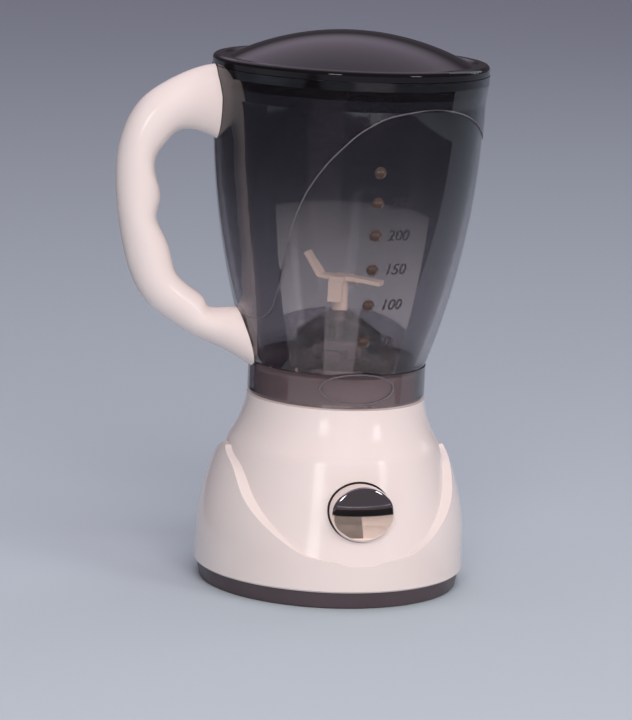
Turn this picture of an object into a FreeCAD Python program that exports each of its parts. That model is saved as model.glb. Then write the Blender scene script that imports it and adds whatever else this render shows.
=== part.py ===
import FreeCAD, Part
import Sketcher
import math
import os
import re

# Toy blender: a cream base with a push button and a motor, a smoky jug with a
# cream handle and a blade, and a dark domed lid. The origin is the centre of the
# flat bottom. +Z is up, the button faces -Y and the handle is at -X.

Vector = FreeCAD.Vector
doc = FreeCAD.newDocument("toy_blender")
sheet = doc.addObject("Spreadsheet::Sheet", "Size")

SIZES = {
    # gaps between neighbours
    "fit_gap": 0.3,
    "slide_gap": 0.4,
    "bearing_gap": 0.05,
    # foot: the dark bottom cover
    "foot_height": 6.0,
    "foot_radius": 47.0,
    "foot_draft": 1.0,
    "cover_plate": 2.0,
    "cover_wall": 2.2,
    # base housing, from the ground up
    "housing_radius": 48.0,
    "housing_wall": 2.4,
    "flank_radius": 47.8,
    "flank_height": 15.0,
    "waist_radius": 38.2,
    "waist_height": 49.1,
    "waist_curve": 11.2,
    "flare_radius": 36.9,
    "flare_height": 52.0,
    "flare_curve": 36.0,
    "neck_radius": 31.6,
    "neck_height": 67.1,
    "seat_radius": 28.9,
    "seat_wall": 2.0,
    "seat_height": 77.5,
    "deck": 2.0,
    "deck_hole": 3.2,
    # raised side wings of the housing
    "wing_arch_width": 39.8,
    "wing_arch_height": 45.0,
    "wing_arch_drop": 29.8,
    "wing_curve": 78.4,
    "wing_top": 49.3,
    "wing_band_slope": 0.7,
    "wing_root": 1.2,
    # screws that close the base
    "boss_radius": 3.4,
    "boss_ring": 39.0,
    "boss_top": 34.0,
    "cover_screws": 3,
    "screw_radius": 1.3,
    "screw_head_radius": 2.6,
    "screw_head": 1.8,
    "screw_length": 14.0,
    "screw_recess": 4.0,
    # battery bay in the bottom cover
    "bay_length": 56.0,
    "bay_width": 30.0,
    "bay_roof": 18.6,
    "bay_wall": 1.5,
    "bay_chamfer": 5.2,
    "door_recess": 0.4,
    "door_plate": 1.6,
    "door_grip": 14.0,
    "door_grip_rib": 0.8,
    "door_ear": 4.5,
    "door_ear_place": 4.2,
    "door_ear_height": 4.0,
    "door_boss_wall": 1.5,
    "door_boss_top": 12.0,
    "cell_radius": 7.1,
    "cell_length": 49.5,
    "cell_cap": 2.7,
    "cell_cap_height": 1.0,
    "contact_plate": 0.4,
    "contact_width": 10.0,
    "contact_low": 4.0,
    "contact_height": 12.0,
    "contact_leaf": 5.0,
    # motor, hung under the deck
    "motor_radius": 10.0,
    "motor_flat": 7.7,
    "motor_length": 22.0,
    "motor_cap": 3.0,
    "motor_nose": 3.0,
    "motor_nose_height": 1.5,
    "motor_shaft": 1.0,
    "motor_shaft_top": 82.0,
    "motor_wall": 1.0,
    "magnet_wall": 2.0,
    "magnet_width": 9.0,
    "armature_radius": 6.0,
    "armature_length": 12.0,
    "armature_slot": 2.0,
    "armature_above_cap": 5.5,
    "commutator_radius": 2.6,
    "commutator_length": 4.0,
    "clamp_plate": 2.0,
    "clamp_reach": 16.5,
    "clamp_boss": 3.0,
    # coupling between base and jug
    "dog_radius": 9.0,
    "dog_disc": 2.2,
    "dog_tooth": 3.2,
    "dog_tooth_inner": 5.0,
    "dog_teeth": 3,
    "dog_tooth_angle": 42.0,
    "dog_hub": 3.0,
    # jug
    "jug_gap": 0.2,
    "collar_radius": 31.5,
    "collar_wall": 2.2,
    "collar_round": 1.5,
    "floor_height": 79.0,
    "floor_plate": 2.0,
    "jug_wall": 1.8,
    "jug_curve": 280.4,
    "shoulder_radius": 47.6,
    "shoulder_height": 172.9,
    "rim_radius": 48.65,
    "rim_low": 180.0,
    "rim_top": 183.0,
    "bell_radius": 15.0,
    "bell_wall": 1.6,
    "bell_shoulder": 89.5,
    "bell_top": 97.3,
    "bell_top_radius": 4.0,
    "panel_depth": 0.35,
    "mark_radius": 2.1,
    "mark_rise": 1.2,
    "mark_first": 92.1,
    "mark_step": 13.5,
    "mark_shrink": 0.72,
    "marks": 6,
    "plate_width": 27.0,
    "plate_height": 11.2,
    "plate_middle": 74.6,
    "plate_line": 0.7,
    "plate_raise": 0.4,
    # blade
    "blade_shaft": 1.25,
    "bush_radius": 2.4,
    "bush_length": 5.0,
    "blade_hub": 2.75,
    "blade_hub_length": 12.4,
    "blade_width": 5.0,
    "blade_thickness": 1.5,
    "blade_turn": -33.0,
    # handle
    "handle_width": 15.0,
    "handle_wall": 2.2,
    "handle_gap": 0.15,
    "handle_parting": 0.1,
    "lug_width": 6.0,
    "handle_boss": 3.2,
    "handle_screw_length": 8.5,
    "handle_screw_sink": 1.2,
    # lid
    "lid_radius": 48.5,
    "lid_gap": 0.2,
    "lid_rim": 3.4,
    "lid_round": 1.5,
    "lid_wall": 1.8,
    "dome_radius": 42.6,
    "dome_rise": 10.3,
    "skirt_length": 6.7,
    "skirt_radius": 45.8,
    # push button and switch
    "button_height": 33.7,
    "button_half_width": 11.1,
    "button_half_height": 9.75,
    "button_edge": 46.3,
    "button_round": 1.2,
    "button_dome": 30.0,
    "button_back": 34.2,
    "button_flange": 1.5,
    "button_lip": 1.6,
    "button_travel": 2.0,
    "button_post": 3.0,
    "guide_wall": 1.5,
    "guide_back": 36.3,
    "switch_front": 24.0,
    "switch_side": 9.0,
    "switch_depth": 7.0,
    "switch_pin": 1.5,
    "switch_gap": 2.6,
    "switch_pin_bore": 4.5,
    "bracket_plate": 2.0,
    "bracket_width": 24.0,
    "bracket_top": 40.0,
    "bracket_seat": 8.0,
    "bracket_foot": 8.0,
    "bracket_screws_apart": 16.0,
    "bracket_boss": 3.0,
    "bracket_screw_length": 7.0,
    "small_screw": 1.1,
    "small_screw_head": 2.2,
    "small_screw_cap": 1.4,
}

for row, (alias, number) in enumerate(SIZES.items(), start=1):
    sheet.set("A%d" % row, alias)
    sheet.set("B%d" % row, str(number))
    sheet.setAlias("B%d" % row, alias)
doc.recompute()

parts = {}


def size(alias):
    """The value of one cell of the sheet."""
    return float(getattr(sheet, alias))


def linked(formula):
    """The formula with each alias written as the sheet's own cell."""
    def cell(word):
        return "Size." + word.group() if word.group() in SIZES else word.group()
    return re.sub(r"[a-z_]+", cell, formula)


def value(formula):
    """The number that a formula in the sheet's aliases gives now."""
    return float(sheet.evalExpression(formula))


def bound(obj, **formulas):
    """Bind properties of an object to formulas; __ stands for a dot in a name."""
    for name, formula in formulas.items():
        obj.setExpression(name.replace("__", "."), linked(formula))
    return obj


def origin_plane(body, role):
    return [part for part in body.Origin.OriginFeatures if part.Role == role][0]


def new_sketch(body, name, role, offset="0"):
    """A sketch on one of the body's own origin planes, moved along its normal."""
    sketch = body.newObject("Sketcher::SketchObject", name)
    sketch.AttachmentSupport = [(origin_plane(body, role), "")]
    sketch.MapMode = "FlatFace"
    sketch.setExpression("AttachmentOffset.Base.z", linked(offset))
    return sketch


def arc_between(start, end, radius, side):
    """An arc from start to end that bulges to its right (side 1) or left (-1)."""
    chord = end - start
    middle = (start + end) * 0.5
    half = chord.Length / 2
    rise = math.sqrt(max(radius * radius - half * half, 0.0))
    left = Vector(-chord.y, chord.x, 0).normalize()
    centre = middle + left * (rise * side)
    first = start if side > 0 else end
    last = end if side > 0 else start
    first_angle = math.atan2(first.y - centre.y, first.x - centre.x)
    last_angle = math.atan2(last.y - centre.y, last.x - centre.x)
    circle = Part.Circle(centre, Vector(0, 0, 1), radius)
    return Part.ArcOfCircle(circle, first_angle, last_angle)


def outline(sketch, corners):
    """A closed outline. Each corner is (x, y) or (x, y, radius, side): the last
    two make the edge that leaves it an arc."""
    places = [Vector(value(corner[0]), value(corner[1]), 0) for corner in corners]
    first_geometry = len(sketch.Geometry)
    ends = []
    for index, corner in enumerate(corners):
        start = places[index]
        end = places[(index + 1) % len(corners)]
        if len(corner) == 4:
            sketch.addGeometry(arc_between(start, end, value(corner[2]), corner[3]), False)
            ends.append((1, 2) if corner[3] > 0 else (2, 1))
        else:
            sketch.addGeometry(Part.LineSegment(start, end), False)
            ends.append((1, 2))
    for index, corner in enumerate(corners):
        here = first_geometry + index
        after = first_geometry + (index + 1) % len(corners)
        joint = (ends[index][1], ends[(index + 1) % len(corners)][0])
        sketch.addConstraint(Sketcher.Constraint("Coincident", here, joint[0], after, joint[1]))
    for index, corner in enumerate(corners):
        here = first_geometry + index
        start = ends[index][0]
        for kind, formula in (("DistanceX", corner[0]), ("DistanceY", corner[1])):
            number = value(formula)
            rule = Sketcher.Constraint(kind, -1, 1, here, start, number)
            place = sketch.addConstraint(rule)
            sketch.setExpression("Constraints[%d]" % place, linked(formula))
        if len(corner) == 4:
            place = sketch.addConstraint(Sketcher.Constraint("Radius", here, value(corner[2])))
            sketch.setExpression("Constraints[%d]" % place, linked(corner[2]))


def ring(sketch, x, y, radius):
    """A circle with its centre and radius bound to formulas."""
    circle = Part.Circle(Vector(value(x), value(y), 0), Vector(0, 0, 1), value(radius))
    here = sketch.addGeometry(circle, False)
    for kind, formula in (("DistanceX", x), ("DistanceY", y)):
        rule = Sketcher.Constraint(kind, -1, 1, here, 3, value(formula))
        place = sketch.addConstraint(rule)
        sketch.setExpression("Constraints[%d]" % place, linked(formula))
    place = sketch.addConstraint(Sketcher.Constraint("Radius", here, value(radius)))
    sketch.setExpression("Constraints[%d]" % place, linked(radius))


def rectangle(sketch, left, low, right, high):
    outline(sketch, [(left, low), (right, low), (right, high), (left, high)])


def spun(body, name, corners, cut=False):
    """A profile in the XZ plane, turned about Z: radius first, height second."""
    sketch = new_sketch(body, name + "_profile", "XZ_Plane")
    outline(sketch, corners)
    kind = "PartDesign::Groove" if cut else "PartDesign::Revolution"
    feature = body.newObject(kind, name)
    feature.Profile = sketch
    feature.ReferenceAxis = (sketch, ["V_Axis"])
    feature.Angle = 360
    body.Tip = feature
    doc.recompute()
    return feature


def raised(body, name, sketch, length, reverse=False, cut=False):
    """Pad or pocket a sketch by a length that is a formula."""
    kind = "PartDesign::Pocket" if cut else "PartDesign::Pad"
    before = body.Shape.Volume if body.Tip else 0.0
    feature = body.newObject(kind, name)
    feature.Profile = sketch
    feature.setExpression("Length", linked(length))
    feature.Reversed = reverse
    body.Tip = feature
    doc.recompute()
    change = body.Shape.Volume - before
    if (change > 0) == cut or change == 0:
        raise RuntimeError("%s does not change the solid as it should" % name)
    return feature


def around(body, name, features, count):
    """Repeat features evenly about the vertical axis."""
    pattern = body.newObject("PartDesign::PolarPattern", name)
    pattern.Originals = features
    pattern.Axis = (origin_plane(body, "Z_Axis"), [""])
    pattern.Angle = 360
    pattern.setExpression("Occurrences", linked(count))
    body.Tip = pattern
    doc.recompute()
    return pattern


def new_body(name):
    return doc.addObject("PartDesign::Body", name)


def keep(name, obj):
    """Name a finished sub-part."""
    obj.Label = name
    parts[name] = obj
    return obj


def joined(name, *pieces):
    fuse = doc.addObject("Part::MultiFuse", name)
    fuse.Shapes = list(pieces)
    fuse.Refine = True
    doc.recompute()
    return fuse


def cut_from(name, base, tool):
    cut = doc.addObject("Part::Cut", name)
    cut.Base = base
    cut.Tool = tool
    doc.recompute()
    return cut


def shared(name, base, tool):
    common = doc.addObject("Part::Common", name)
    common.Base = base
    common.Tool = tool
    doc.recompute()
    return common


def solid(name, shape):
    """A sub-part whose shape no feature gives."""
    feature = doc.addObject("Part::Feature", name)
    place = shape.Placement
    feature.Shape = shape
    feature.Placement = place
    return feature


def oval(name, half_width, half_height, height, front, back, taper=0.0):
    """An oval prism along Y, centred on X, from the plane y=-front to y=-back."""
    ellipse = doc.addObject("Part::Ellipse", name + "_ellipse")
    bound(ellipse, MajorRadius=half_width, MinorRadius=half_height)
    turn = FreeCAD.Rotation(Vector(1, 0, 0), 90)
    ellipse.Placement = FreeCAD.Placement(Vector(0, 0, 0), turn)
    bound(ellipse, Placement__Base__y="-(" + back + ")", Placement__Base__z=height)
    prism = doc.addObject("Part::Extrusion", name)
    prism.Base = ellipse
    prism.DirMode = "Custom"
    prism.Dir = Vector(0, -1, 0)
    prism.Solid = True
    prism.TaperAngle = taper
    bound(prism, LengthFwd="(" + front + ") - (" + back + ")")
    doc.recompute()
    return prism


def box(name, left, front, low, length, depth, height):
    """A block from its lowest corner and its three lengths, all formulas."""
    block = doc.addObject("Part::Box", name)
    bound(block, Length=length, Width=depth, Height=height, Placement__Base__x=left,
          Placement__Base__y=front, Placement__Base__z=low)
    doc.recompute()
    return block


def rod(name, x, y, low, radius, height):
    """An upright cylinder."""
    cylinder = doc.addObject("Part::Cylinder", name)
    bound(cylinder, Radius=radius, Height=height, Placement__Base__x=x,
          Placement__Base__y=y, Placement__Base__z=low)
    doc.recompute()
    return cylinder


def rod_along(name, axis, x, y, z, radius, length):
    """A cylinder that starts at a point and runs along an axis."""
    cylinder = doc.addObject("Part::Cylinder", name)
    turn = FreeCAD.Rotation(Vector(0, 0, 1), axis)
    cylinder.Placement = FreeCAD.Placement(Vector(0, 0, 0), turn)
    bound(cylinder, Radius=radius, Height=length, Placement__Base__x=x,
          Placement__Base__y=y, Placement__Base__z=z)
    doc.recompute()
    return cylinder


def make_housing():
    """Cream base: a shell of revolution with the seat for the jug on top, and two
    raised wings whose edges sweep down to the front and the back in an arch."""
    body = new_body("housing_core")
    spun(body, "housing_shell", [
        ("housing_radius - 0.6", "foot_height"),
        ("housing_radius", "foot_height + 0.6"),
        ("flank_radius", "flank_height"),
        ("waist_radius", "waist_height", "waist_curve", 1),
        ("flare_radius", "flare_height", "flare_curve", -1),
        ("neck_radius", "neck_height"),
        ("seat_radius", "neck_height"),
        ("seat_radius", "seat_height - 1"),
        ("seat_radius - 1", "seat_height"),
        ("deck_hole", "seat_height"),
        ("deck_hole", "seat_height - deck"),
        ("seat_radius - seat_wall", "seat_height - deck"),
        ("seat_radius - seat_wall", "neck_height - housing_wall"),
        ("flare_radius - housing_wall", "flare_height - housing_wall"),
        ("waist_radius - housing_wall", "waist_height - housing_wall"),
        ("flank_radius - housing_wall", "flank_height"),
        ("housing_radius - housing_wall", "foot_height"),
    ])
    sketch = new_sketch(body, "boss_outline", "XY_Plane", "foot_height + cover_plate")
    ring(sketch, "0", "boss_ring", "boss_radius")
    boss = raised(body, "screw_boss", sketch, "boss_top - foot_height - cover_plate")
    around(body, "screw_bosses", [boss], "cover_screws")
    sketch = new_sketch(body, "boss_hole_outline", "XY_Plane", "foot_height + cover_plate")
    ring(sketch, "0", "boss_ring", "screw_radius")
    hole = raised(body, "boss_hole", sketch, "screw_length - 2", True, True)
    around(body, "boss_holes", [hole], "cover_screws")
    skin = joined("housing_skin", body, make_wings())
    sleeve = oval("guide_sleeve", "button_half_width + slide_gap + guide_wall",
                  "button_half_height + slide_gap + guide_wall",
                  "button_height", "flank_radius", "guide_back")
    trimmed = shared("guide_inside", sleeve, housing_envelope())
    sleeved = joined("housing_with_guide", skin, trimmed)
    hole = oval("button_hole", "button_half_width + slide_gap", "button_half_height + slide_gap",
                "button_height", "housing_radius + 2", "guide_back - 4")
    opened = cut_from("housing_opened", sleeved, hole)
    keep("base_housing", joined("base_housing_solid", opened, clamp_posts()))


def housing_envelope():
    """The space that the housing's outside encloses, used to trim what is added."""
    body = new_body("housing_envelope")
    spun(body, "envelope_turn", [
        ("0", "foot_height"),
        ("flank_radius - 1", "foot_height"),
        ("flank_radius - 1", "flank_height"),
        ("waist_radius - 1", "waist_height"),
        ("flare_radius - 1", "flare_height"),
        ("0", "flare_height"),
    ])
    return body


def make_wings():
    """The two raised wings: a ring over the housing's flank, parted at the front and
    the back by an arch whose band slopes down to the skin."""
    body = new_body("wing_ring")
    spun(body, "wing_ring_turn", [
        ("flank_radius - wing_root", "flank_height - 2"),
        ("flank_radius", "flank_height", "wing_curve", 1),
        (WING_CREST, "wing_top"),
        ("waist_radius - wing_root", "wing_top"),
    ])
    front = solid("front_arch", arch_cutter(-1))
    back = solid("back_arch", arch_cutter(1))
    return cut_from("wings", body, joined("arches", front, back))


def arch_cutter(side):
    """The space between the wings on one side, lofted through level sections."""
    middle = size("wing_arch_height")
    drop = size("wing_arch_drop")
    width = size("wing_arch_width")
    lowest = 0.12
    spots = []
    for step in range(6):
        turn = lowest + (math.pi / 2 - lowest) * step / 5
        spots.append((middle - drop * math.cos(turn), width * math.sin(turn)))
    spots += [(size("wing_top"), width), (size("wing_top") + 1, width)]
    return Part.makeLoft([arch_section(height, half, side) for height, half in spots], True, False)


def arch_section(height, half_width, side):
    """A level section: narrow at the skin, wider outside the wing, closed far out."""
    outside = wing_radius(height)
    spread = math.asin(min(half_width / outside, 0.999))
    reach = 2.0
    slope = size("wing_band_slope") / size("waist_radius")
    far = size("housing_radius") * 1.5

    def spot(radius, angle):
        return Vector(radius * math.sin(angle), side * radius * math.cos(angle), height)
    inner = skin_radius(height) - reach
    narrow = spread - slope * (outside - inner)
    wide = spread + slope * reach
    corners = [spot(inner, -narrow), spot(outside + reach, -wide), Vector(-far, side * far, height),
               Vector(far, side * far, height), spot(outside + reach, wide), spot(inner, narrow)]
    return Part.makePolygon(corners + corners[:1])


def wing_radius(height):
    """Radius of the wings' outside at a height."""
    curve = size("wing_curve")
    rise = max(height - size("flank_height"), 0.0)
    return size("flank_radius") - curve + math.sqrt(curve * curve - rise * rise)


def skin_radius(height):
    """Radius of the housing's skin between the flank and the neck."""
    low = size("flank_height")
    if height <= low:
        return size("flank_radius")
    rise = (height - low) / (size("waist_height") - low)
    return size("flank_radius") + (size("waist_radius") - size("flank_radius")) * rise


def clamp_posts():
    """Two posts under the deck that the motor clamp is screwed to."""
    low = "seat_height - deck - motor_length - motor_cap"
    posts = []
    for name, place in (("left", "-clamp_reach"), ("right", "clamp_reach")):
        post = rod("clamp_post_" + name, place, "0", low, "clamp_boss",
                   "motor_length + motor_cap + 0.5")
        hole = rod("clamp_hole_" + name, place, "0", low + " - 1", "small_screw", "8")
        posts.append(cut_from("clamp_post_drilled_" + name, post, hole))
    return joined("clamp_posts", *posts)


def bay_section(sketch, front, rear, low, roof, chamfer):
    """The battery bay seen from its end: a box whose upper edges are cut away, because
    the housing closes in above it."""
    outline(sketch, [(front, low), (rear, low), (rear, roof + " - (" + chamfer + ")"),
                     (rear + " - (" + chamfer + ")", roof), (front + " + (" + chamfer + ")", roof),
                     (front, roof + " - (" + chamfer + ")")])


def make_cover():
    """Dark bottom cover: the foot that shows under the housing, the battery bay,
    the boss for the door's screw and the recesses for the housing's screws."""
    body = new_body("bottom_cover_body")
    spun(body, "cover_dish", [
        ("0", "0"),
        ("foot_radius - foot_draft - 0.6", "0"),
        ("foot_radius - foot_draft", "0.6"),
        ("foot_radius", "foot_height - 0.2"),
        ("foot_radius - cover_wall", "foot_height - 0.2"),
        ("foot_radius - cover_wall", "cover_plate"),
        ("0", "cover_plate"),
    ])
    sketch = new_sketch(body, "bay_block_outline", "YZ_Plane", "-bay_length / 2 - bay_wall")
    bay_section(sketch, BAY_FRONT + " - bay_wall", BAY_REAR + " + bay_wall",
                "cover_plate - 0.5", "bay_roof + bay_wall", "bay_chamfer")
    raised(body, "bay_block", sketch, "bay_length + 2 * bay_wall")
    sketch = new_sketch(body, "door_boss_outline", "XY_Plane", "cover_plate - 0.5")
    ring(sketch, EAR_ACROSS, EAR_ALONG, "door_ear + fit_gap + door_boss_wall")
    raised(body, "door_boss", sketch, "door_boss_top - cover_plate + 0.5")
    sketch = new_sketch(body, "bay_outline", "YZ_Plane", "-bay_length / 2")
    bay_section(sketch, BAY_FRONT, BAY_REAR, "-1", "bay_roof",
                "bay_chamfer - bay_wall * (2 - sqrt(2))")
    raised(body, "bay", sketch, "bay_length", True, True)
    sketch = new_sketch(body, "door_notch_outline", "XY_Plane")
    rectangle(sketch, "bay_length / 2 - 1", EAR_ALONG + " - door_ear - fit_gap",
              EAR_ACROSS, EAR_ALONG + " + door_ear + fit_gap")
    raised(body, "door_notch", sketch, "door_recess + door_plate + fit_gap", True, True)
    sketch = new_sketch(body, "ear_pocket_outline", "XY_Plane")
    ring(sketch, EAR_ACROSS, EAR_ALONG, "door_ear + fit_gap")
    raised(body, "ear_pocket", sketch, "door_recess + door_ear_height + fit_gap", True, True)
    sketch = new_sketch(body, "door_screw_outline", "XY_Plane")
    ring(sketch, EAR_ACROSS, EAR_ALONG, "small_screw")
    raised(body, "door_screw_hole", sketch, "door_boss_top - 1", True, True)
    sketch = new_sketch(body, "pillar_outline", "XY_Plane", "cover_plate - 0.5")
    ring(sketch, "0", "boss_ring", "boss_radius")
    pillar = raised(body, "pillar", sketch, "foot_height + 0.5")
    around(body, "pillars", [pillar], "cover_screws")
    sketch = new_sketch(body, "recess_outline", "XY_Plane")
    ring(sketch, "0", "boss_ring", "screw_head_radius + fit_gap")
    recess = raised(body, "recess", sketch, "screw_recess", True, True)
    around(body, "recesses", [recess], "cover_screws")
    sketch = new_sketch(body, "through_outline", "XY_Plane")
    ring(sketch, "0", "boss_ring", "screw_radius + 0.1")
    through = raised(body, "through", sketch, "foot_height + cover_plate + 1", True, True)
    around(body, "through_holes", [through], "cover_screws")
    for side, name in ((-1, "left"), (1, "right")):
        place = "%d * bracket_screws_apart / 2" % side
        depth = "-switch_front + switch_depth - bracket_foot / 2"
        sketch = new_sketch(body, "bracket_boss_outline_" + name, "XY_Plane", "cover_plate - 0.5")
        ring(sketch, place, depth, "bracket_boss")
        raised(body, "bracket_boss_" + name, sketch, "bracket_seat - cover_plate + 0.5")
        sketch = new_sketch(body, "bracket_hole_outline_" + name, "XY_Plane", "bracket_seat")
        ring(sketch, place, depth, "small_screw")
        raised(body, "bracket_hole_" + name, sketch, "bracket_seat - 1.2", False, True)
    keep("bottom_cover", body)


def screw_shape(radius, length, head_radius, head):
    """A pan-head screw with a crossed slot, head down at the origin, shank along +Z."""
    shank = Part.makeCylinder(radius, length, Vector(0, 0, head - 0.2))
    cap = Part.makeCylinder(head_radius, head)
    point = Part.makeCone(radius, radius * 0.4, radius, Vector(0, 0, length + head - 0.2))
    arm = head_radius * 0.7
    slots = [Part.makeBox(2 * arm, 0.6, 0.7, Vector(-arm, -0.3, 0)),
             Part.makeBox(0.6, 2 * arm, 0.7, Vector(-0.3, -arm, 0))]
    return cap.fuse([shank, point]).cut(slots).removeSplitter()


def small_screw(length, place, turn=None):
    """One of the small screws, with the underside of its head at a place. It points
    up, unless it is turned about an axis by an angle."""
    screw = screw_shape(size("small_screw") - 0.02, length, size("small_screw_head"),
                        size("small_screw_cap"))
    screw.translate(Vector(0, 0, -size("small_screw_cap")))
    if turn:
        screw.rotate(Vector(0, 0, 0), *turn)
    screw.translate(place)
    return screw


def make_cover_screws():
    """Screws that hold the bottom cover to the housing's posts."""
    screws = []
    for index in range(int(size("cover_screws"))):
        screw = screw_shape(size("screw_radius") - 0.02, size("screw_length") - 2.5,
                            size("screw_head_radius"), size("screw_head"))
        turn = 90 + 360 * index / size("cover_screws")
        screw.translate(Vector(size("boss_ring"), 0, size("screw_recess") - size("screw_head")))
        screw.rotate(Vector(0, 0, 0), Vector(0, 0, 1), turn)
        screws.append(screw)
    keep("cover_screws", solid("cover_screw_group", Part.makeCompound(screws)))


def make_battery_bay():
    """Battery door with its ear and screw, two cells, and their sprung contacts."""
    low = size("door_recess")
    plate = size("door_plate")
    gap = size("fit_gap")
    length = size("bay_length")
    width = size("bay_width")
    front = value(BAY_FRONT)
    ear = size("door_ear")
    ear_x = value(EAR_ACROSS)
    ear_y = value(EAR_ALONG)
    door = Part.makeBox(length - 2 * gap, width - 2 * gap, plate,
                        Vector(gap - length / 2, front + gap, low))
    bridge = Part.makeBox(ear_x - length / 2 + 1, 2 * ear, plate,
                          Vector(length / 2 - 1, ear_y - ear, low))
    lug = Part.makeCylinder(ear, size("door_ear_height"), Vector(ear_x, ear_y, low))
    sink = Part.makeCylinder(size("small_screw_head") + gap, size("small_screw_cap") + 0.6,
                             Vector(ear_x, ear_y, low))
    hole = Part.makeCylinder(size("small_screw") + 0.1, size("door_ear_height") + 1,
                             Vector(ear_x, ear_y, low))
    grips = [Part.makeBox(size("door_grip_rib"), size("door_grip"), 2 * size("door_grip_rib"),
                          Vector(6 - length / 2 + 2 * step * size("door_grip_rib"),
                                 ear_y - size("door_grip") / 2, low - size("door_grip_rib") * 1.4))
             for step in range(3)]
    shape = door.fuse([bridge, lug]).cut([sink, hole] + grips).removeSplitter()
    keep("battery_door", solid("battery_door_solid", shape))
    seat = low + size("small_screw_cap") + 0.6
    keep("battery_door_screw", solid("battery_door_screw_solid",
                                     small_screw(6.0, Vector(ear_x, ear_y, seat))))
    thick = size("contact_plate")
    radius = size("cell_radius")
    nub = size("cell_cap_height")
    cell_z = low + plate + gap + radius
    end = length / 2 - thick
    lanes = (front + width * 0.25, front + width * 0.75)
    for name, lane, heading in (("battery_cell_front", lanes[0], 1),
                                ("battery_cell_rear", lanes[1], -1)):
        can = Part.makeCylinder(radius, size("cell_length"), Vector(0, 0, 0), Vector(1, 0, 0))
        cap = Part.makeCylinder(size("cell_cap"), nub + 0.2,
                                Vector(size("cell_length") - 0.2, 0, 0), Vector(1, 0, 0))
        cell = can.fuse(cap).removeSplitter()
        cell.translate(Vector(end - size("cell_length") - nub - 0.05, 0, 0))
        if heading < 0:
            cell.rotate(Vector(0, 0, 0), Vector(0, 0, 1), 180)
        cell.translate(Vector(0, lane, cell_z))
        keep(name, solid(name + "_solid", cell))
    spring_reach = length - 2 * thick - size("cell_length") - nub - 0.1
    wide = size("contact_width")

    def plate_at(side, lane, lane_to):
        start = -end - thick if side < 0 else end
        return Part.makeBox(thick, lane_to - lane + wide, size("contact_height"),
                            Vector(start, lane - wide / 2, size("contact_low")))

    def leaf_at(side, lane):
        """A bowed leaf that presses on the flat end of a cell."""
        foot = -side * 0.05
        tip = -side * spring_reach
        reach = size("contact_leaf")
        upper = Part.Arc(Vector(foot, 0, reach), Vector(tip, 0, 0), Vector(foot, 0, -reach))
        lower = Part.Arc(Vector(foot, 0, -reach + 0.5), Vector(tip + side * thick, 0, 0),
                         Vector(foot, 0, reach - 0.5))
        edges = [upper.toShape(),
                 Part.LineSegment(Vector(foot, 0, -reach), Vector(foot, 0, -reach + 0.5)).toShape(),
                 lower.toShape(),
                 Part.LineSegment(Vector(foot, 0, reach - 0.5), Vector(foot, 0, reach)).toShape()]
        leaf = Part.Face(Part.Wire(edges)).extrude(Vector(0, wide * 0.6, 0))
        leaf.translate(Vector(side * end, lane - wide * 0.3, cell_z))
        return leaf
    bridge_plate = plate_at(1, lanes[0], lanes[1])
    keep("bridge_contact", solid("bridge_contact_solid", bridge_plate))
    terminals = [plate_at(-1, lane, lane) for lane in lanes]
    keep("terminal_contacts", solid("terminal_contact_group", Part.makeCompound(terminals)))
    leaves = [leaf_at(1, lanes[1]), leaf_at(-1, lanes[0])]
    keep("contact_springs", solid("contact_spring_group", Part.makeCompound(leaves)))


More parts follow.
